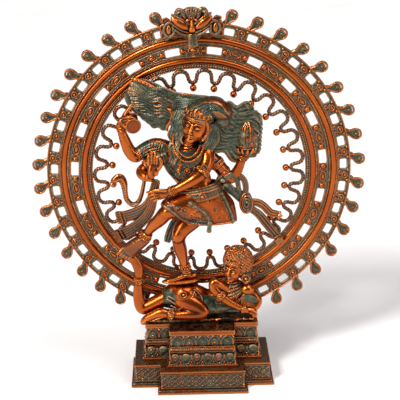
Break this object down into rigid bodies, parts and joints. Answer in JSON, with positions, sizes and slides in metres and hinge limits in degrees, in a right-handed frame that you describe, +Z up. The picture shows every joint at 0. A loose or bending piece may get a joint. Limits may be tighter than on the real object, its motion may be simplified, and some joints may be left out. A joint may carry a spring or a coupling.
{
  "type": "nataraja statue",
  "caption": "Dancing figure on a dwarf inside a pierced ring of flames, on a stepped pedestal: a free-standing cast metal statue.",
  "frame": {"origin": "middle of the footprint, on the floor under the plinth", "axes": "+Z up, the figure's front faces -Y, +X to the viewer's right"},
  "size_m": [0.6554, 0.16, 0.7673],
  "materials": {
    "polished_copper": "burnished antique copper, glossy, darker in the hollows",
    "green_patina": "dark green patina with rubbed copper edges",
    "worn_bronze": "brown bronze rubbed through green patina",
    "fastener_steel": "plain zinc-grey steel"
  },
  "bodies": {
    "root": {"plinth": "green_patina", "pedestal": "green_patina", "top_plate": "polished_copper", "base_bolts": "fastener_steel", "base_washers": "fastener_steel", "ring_foot": "green_patina", "ring_foot_screws": "fastener_steel", "ring_foot_pins": "polished_copper", "dwarf_bed": "green_patina", "dwarf_studs": "fastener_steel", "dwarf_nuts": "fastener_steel", "dwarf_body": "polished_copper", "dwarf_head": "polished_copper", "dwarf_hair": "green_patina", "dwarf_arm_near": "polished_copper", "dwarf_arm_far": "polished_copper", "dwarf_leg_bent": "polished_copper", "dwarf_leg_raised": "polished_copper", "foot_plate": "polished_copper", "foot_stud": "fastener_steel", "leg_standing": "polished_copper", "leg_raised": "polished_copper", "skirt": "polished_copper", "belt": "green_patina", "torso": "green_patina", "necklace": "worn_bronze", "head": "polished_copper", "crown": "worn_bronze", "hair_cap": "green_patina", "hair_left": "green_patina", "hair_right": "green_patina", "crescent": "polished_copper", "arm_drum": "polished_copper", "drum": "polished_copper", "arm_blessing": "polished_copper", "arm_across": "polished_copper", "arm_flame": "polished_copper", "flame": "polished_copper", "snake": "worn_bronze", "sash_left": "worn_bronze", "sash_right": "green_patina", "sash_tails": "worn_bronze", "sash_rosette": "green_patina", "cloth_tail": "green_patina", "ring_band": "green_patina", "ring_outer_tube": "polished_copper", "ring_inner_tube": "polished_copper", "ring_outer_band": "green_patina", "ring_rim": "green_patina", "ring_flames": "worn_bronze", "ring_studs": "polished_copper", "ring_lattice": "worn_bronze", "lattice_balls": "polished_copper", "mask": "polished_copper", "mask_scrolls": "worn_bronze", "tie_pins": "polished_copper"}
  },
  "joints": []
}
